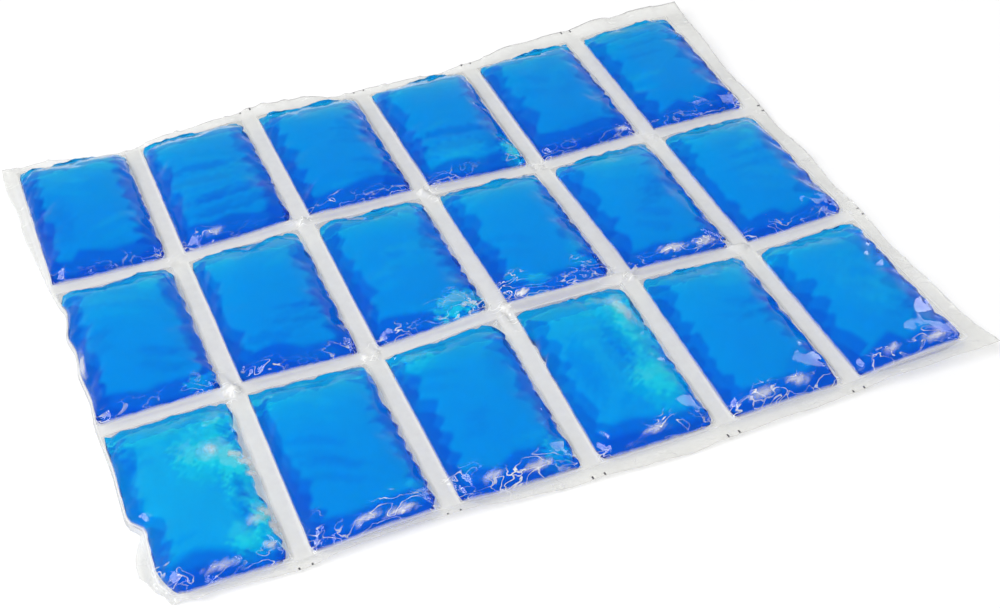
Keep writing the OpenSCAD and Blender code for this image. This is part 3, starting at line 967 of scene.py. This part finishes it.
def blue_gel():
    """Clear gel, tinted by how deep it looks, with painted shade over its flanks and near
    side and painted light in patches and towards its far end, and with a painted
    highlight: a bright crinkled line along the far edge of each fill."""
    m, nodes, links = new_material("blue_gel")
    out = nodes.new("ShaderNodeOutputMaterial")
    where = nodes.new("ShaderNodeTexCoord")
    body = nodes.new("ShaderNodeBsdfPrincipled")
    body.inputs["Transmission Weight"].default_value = 0.8
    body.inputs["IOR"].default_value = 1.2
    body.inputs["Roughness"].default_value = 0.03
    deep = nodes.new("ShaderNodeVolumeAbsorption")
    deep.inputs["Color"].default_value = (0, 0.9775, 0.997, 1)
    deep.inputs["Density"].default_value = 800
    lumps = noise_node(nodes, 90)
    relief = bump_node(nodes, 0.1, 0.001)
    depth = attribute_node(nodes, "depth")
    centred = math_node(nodes, "MULTIPLY_ADD", None, 0.75, 0.2)
    cloudy = math_node(nodes, "MULTIPLY_ADD", None, 0.09)
    # From pale cyan to deep blue: the gel's own colour, with the painted light and
    # painted shade of the attribute
    tint = ramp_node(nodes, (0, (0.5, 1, 1, 1)), (0.25, (0.05, 0.93, 0.97, 1)),
                     (0.62, (0.0, 0.52, 1, 1)), (1, (0.0, 0.18, 0.85, 1)))
    links.new(where.outputs["Object"], lumps.inputs["Vector"])
    links.new(lumps.outputs["Fac"], relief.inputs["Height"])
    links.new(lumps.outputs["Fac"], cloudy.inputs[0])
    links.new(depth.outputs["Fac"], centred.inputs[0])
    links.new(centred.outputs[0], cloudy.inputs[2])
    links.new(cloudy.outputs[0], tint.inputs["Fac"])

    # Painted highlight: a bright crinkled cyan line along the far edge of each fill
    zigzag = noise_node(nodes, 230)
    reach = math_node(nodes, "MULTIPLY_ADD", None, 7, 2.6)
    from_far = attribute_node(nodes, "from_far")
    beyond = math_node(nodes, "SUBTRACT")
    shifted = math_node(nodes, "MULTIPLY_ADD", None, 0.5, 0.5)
    edge = ramp_node(nodes, (0.1, (0, 0.5, 0.95, 1)), (0.42, (0.15, 0.98, 1, 1)))
    strength = range_node(nodes, 0.75, 0.45)
    painted = nodes.new("ShaderNodeMix")
    painted.data_type = "RGBA"
    links.new(where.outputs["Object"], zigzag.inputs["Vector"])
    links.new(zigzag.outputs["Fac"], reach.inputs[0])
    links.new(from_far.outputs["Fac"], beyond.inputs[0])
    links.new(reach.outputs[0], beyond.inputs[1])
    links.new(beyond.outputs[0], shifted.inputs[0])
    links.new(shifted.outputs[0], edge.inputs["Fac"])
    links.new(shifted.outputs[0], strength.inputs["Value"])
    links.new(strength.outputs[0], painted.inputs[0])
    links.new(tint.outputs["Color"], painted.inputs[6])
    links.new(edge.outputs["Color"], painted.inputs[7])
    links.new(painted.outputs[2], body.inputs["Base Color"])
    links.new(relief.outputs["Normal"], body.inputs["Normal"])
    links.new(body.outputs[0], out.inputs["Surface"])
    links.new(deep.outputs[0], out.inputs["Volume"])
    return m


def dark_print():
    m, nodes, links = new_material("dark_print")
    out = nodes.new("ShaderNodeOutputMaterial")
    where = nodes.new("ShaderNodeTexCoord")
    ink = nodes.new("ShaderNodeBsdfPrincipled")
    ink.inputs["Roughness"].default_value = 0.4
    mottle = noise_node(nodes, 900)
    tone = ramp_node(nodes, (0, (0.02, 0.02, 0.03, 1)), (1, (0.09, 0.08, 0.1, 1)))
    links.new(where.outputs["Object"], mottle.inputs["Vector"])
    links.new(mottle.outputs["Fac"], tone.inputs["Fac"])
    links.new(tone.outputs["Color"], ink.inputs["Base Color"])
    links.new(ink.outputs[0], out.inputs["Surface"])
    return m


film_finish, gel_finish = clear_film(), blue_gel()
register_marks.data.materials.append(dark_print())
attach(register_marks, "root")
for piece in (upper_film, lower_film):
    piece.data.materials.append(film_finish)
    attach(piece, "root")
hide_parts("upper_film")
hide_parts("lower_film")
for name, piece in gel_fills.items():
    piece.data.materials.append(gel_finish)
    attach(piece, "root")
    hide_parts(name)


# Floor, light and camera

def white_floor():
    """A matt white floor that glows a little where it is looked at or reflected, and
    less where it shows through the gel."""
    nothing_selected()
    bpy.ops.mesh.primitive_plane_add(size=8, location=(0, 0, -0.0004))
    floor = bpy.context.object
    floor.name = "floor"
    m, nodes, links = new_material("floor_white")
    out = nodes.new("ShaderNodeOutputMaterial")
    matt = nodes.new("ShaderNodeBsdfDiffuse")
    matt.inputs["Color"].default_value = (0.68, 0.68, 0.68, 1)
    glow = nodes.new("ShaderNodeEmission")
    path = nodes.new("ShaderNodeLightPath")
    seen = math_node(nodes, "ADD")
    seen.use_clamp = True
    level = math_node(nodes, "MULTIPLY", None, 0.33)
    through = math_node(nodes, "MULTIPLY_ADD", None, 0.2)
    both = nodes.new("ShaderNodeAddShader")
    links.new(path.outputs["Is Camera Ray"], seen.inputs[0])
    links.new(path.outputs["Is Glossy Ray"], seen.inputs[1])
    links.new(seen.outputs[0], level.inputs[0])
    links.new(path.outputs["Is Transmission Ray"], through.inputs[0])
    links.new(level.outputs[0], through.inputs[2])
    links.new(through.outputs[0], glow.inputs["Strength"])
    links.new(matt.outputs[0], both.inputs[0])
    links.new(glow.outputs[0], both.inputs[1])
    links.new(both.outputs[0], out.inputs["Surface"])
    floor.data.materials.append(m)


def softbox(name, place, aim, size, power):
    lamp = bpy.data.lights.new(name, "AREA")
    lamp.shape = "RECTANGLE"
    lamp.size, lamp.size_y = size
    lamp.energy = power
    holder = bpy.data.objects.new(name, lamp)
    scene.collection.objects.link(holder)
    holder.location = place
    way = Vector(aim) - Vector(place)
    holder.rotation_euler = way.to_track_quat("-Z", "Y").to_euler()
    return holder


white_floor()
softbox("softbox_left", (-1.7, -0.5, 2.1), (0, 0, 0), (1.8, 1.8), 84)
softbox("lamp_front", (-0.5, -1.7, 1.7), (0, 0, 0), (0.4, 0.4), 3)
softbox("strip_right", (1.1, 0.35, 0.6), (0, 0, 0), (0.3, 1.0), 4)


def studio_world():
    """Bright white round the horizon and dim overhead, as in a white cove."""
    world = bpy.data.worlds.new("studio")
    scene.world = world
    world.use_nodes = True
    nodes, links = world.node_tree.nodes, world.node_tree.links
    background = nodes["Background"]
    where = nodes.new("ShaderNodeTexCoord")
    parts = nodes.new("ShaderNodeSeparateXYZ")
    levels = ramp_node(nodes, (0.12, (0.45, 0.45, 0.45, 1)), (0.38, (0.2, 0.2, 0.2, 1)),
                       (0.6, (0.14, 0.14, 0.14, 1)))
    links.new(where.outputs["Generated"], parts.inputs[0])
    links.new(parts.outputs["Z"], levels.inputs["Fac"])
    links.new(levels.outputs["Color"], background.inputs["Color"])
    background.inputs["Strength"].default_value = 1


studio_world()

# The photo's camera, as fitted to the crossings of the seals
AZIMUTH, ELEVATION = math.radians(-22.9), math.radians(41.9)
AIM, DISTANCE = Vector((0.003, -0.0378, 0.0035)), 0.699
back = Vector((math.sin(AZIMUTH) * math.cos(ELEVATION),
               -math.cos(AZIMUTH) * math.cos(ELEVATION), math.sin(ELEVATION)))
cam = bpy.data.objects.new("camera", bpy.data.cameras.new("camera"))
scene.collection.objects.link(cam)
cam.location = AIM + back * DISTANCE
cam.rotation_mode = "QUATERNION"
cam.rotation_quaternion = (-back).to_track_quat("-Z", "Y")
cam.data.sensor_width = 36
cam.data.lens = 57.13
cam.data.clip_start = 0.01
scene.camera = cam

scene.view_settings.view_transform = "Standard"
scene.cycles.max_bounces = 12
scene.cycles.transmission_bounces = 8
scene.cycles.transparent_max_bounces = 24
scene.cycles.use_denoising = True
